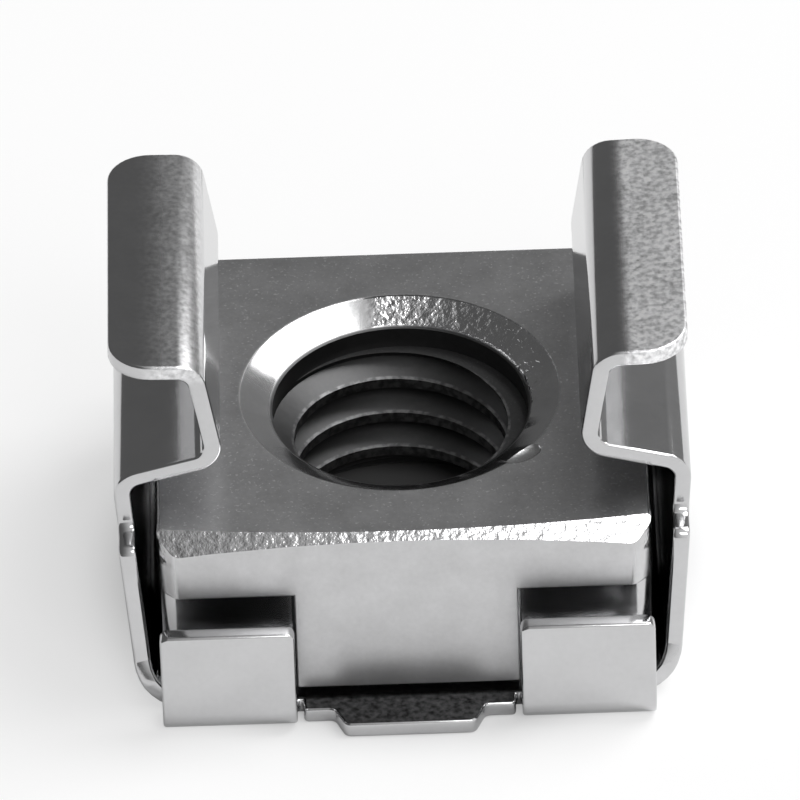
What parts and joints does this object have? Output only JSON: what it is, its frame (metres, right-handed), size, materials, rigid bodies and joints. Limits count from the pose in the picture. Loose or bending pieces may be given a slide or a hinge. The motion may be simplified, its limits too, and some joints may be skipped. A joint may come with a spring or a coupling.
{
  "type": "rack cage nut",
  "caption": "Square M6 nut held loosely in a folded spring-steel cage that snaps into a 9.5 mm square rack hole.",
  "frame": {"origin": "floor under the middle of the cage's base, on the axis of the thread", "axes": "+X across the two arms, +Y along them, +Z along the thread's axis, out of the mouth of the cage"},
  "size_m": [0.0134, 0.0132, 0.009],
  "materials": {
    "cage_steel": "bright nickel plate on spring steel, fine orange peel",
    "nut_steel": "nickel plate on cold-formed steel, finely pitted"
  },
  "bodies": {
    "root": {"cage": "cage_steel", "nut": "nut_steel"}
  },
  "joints": []
}
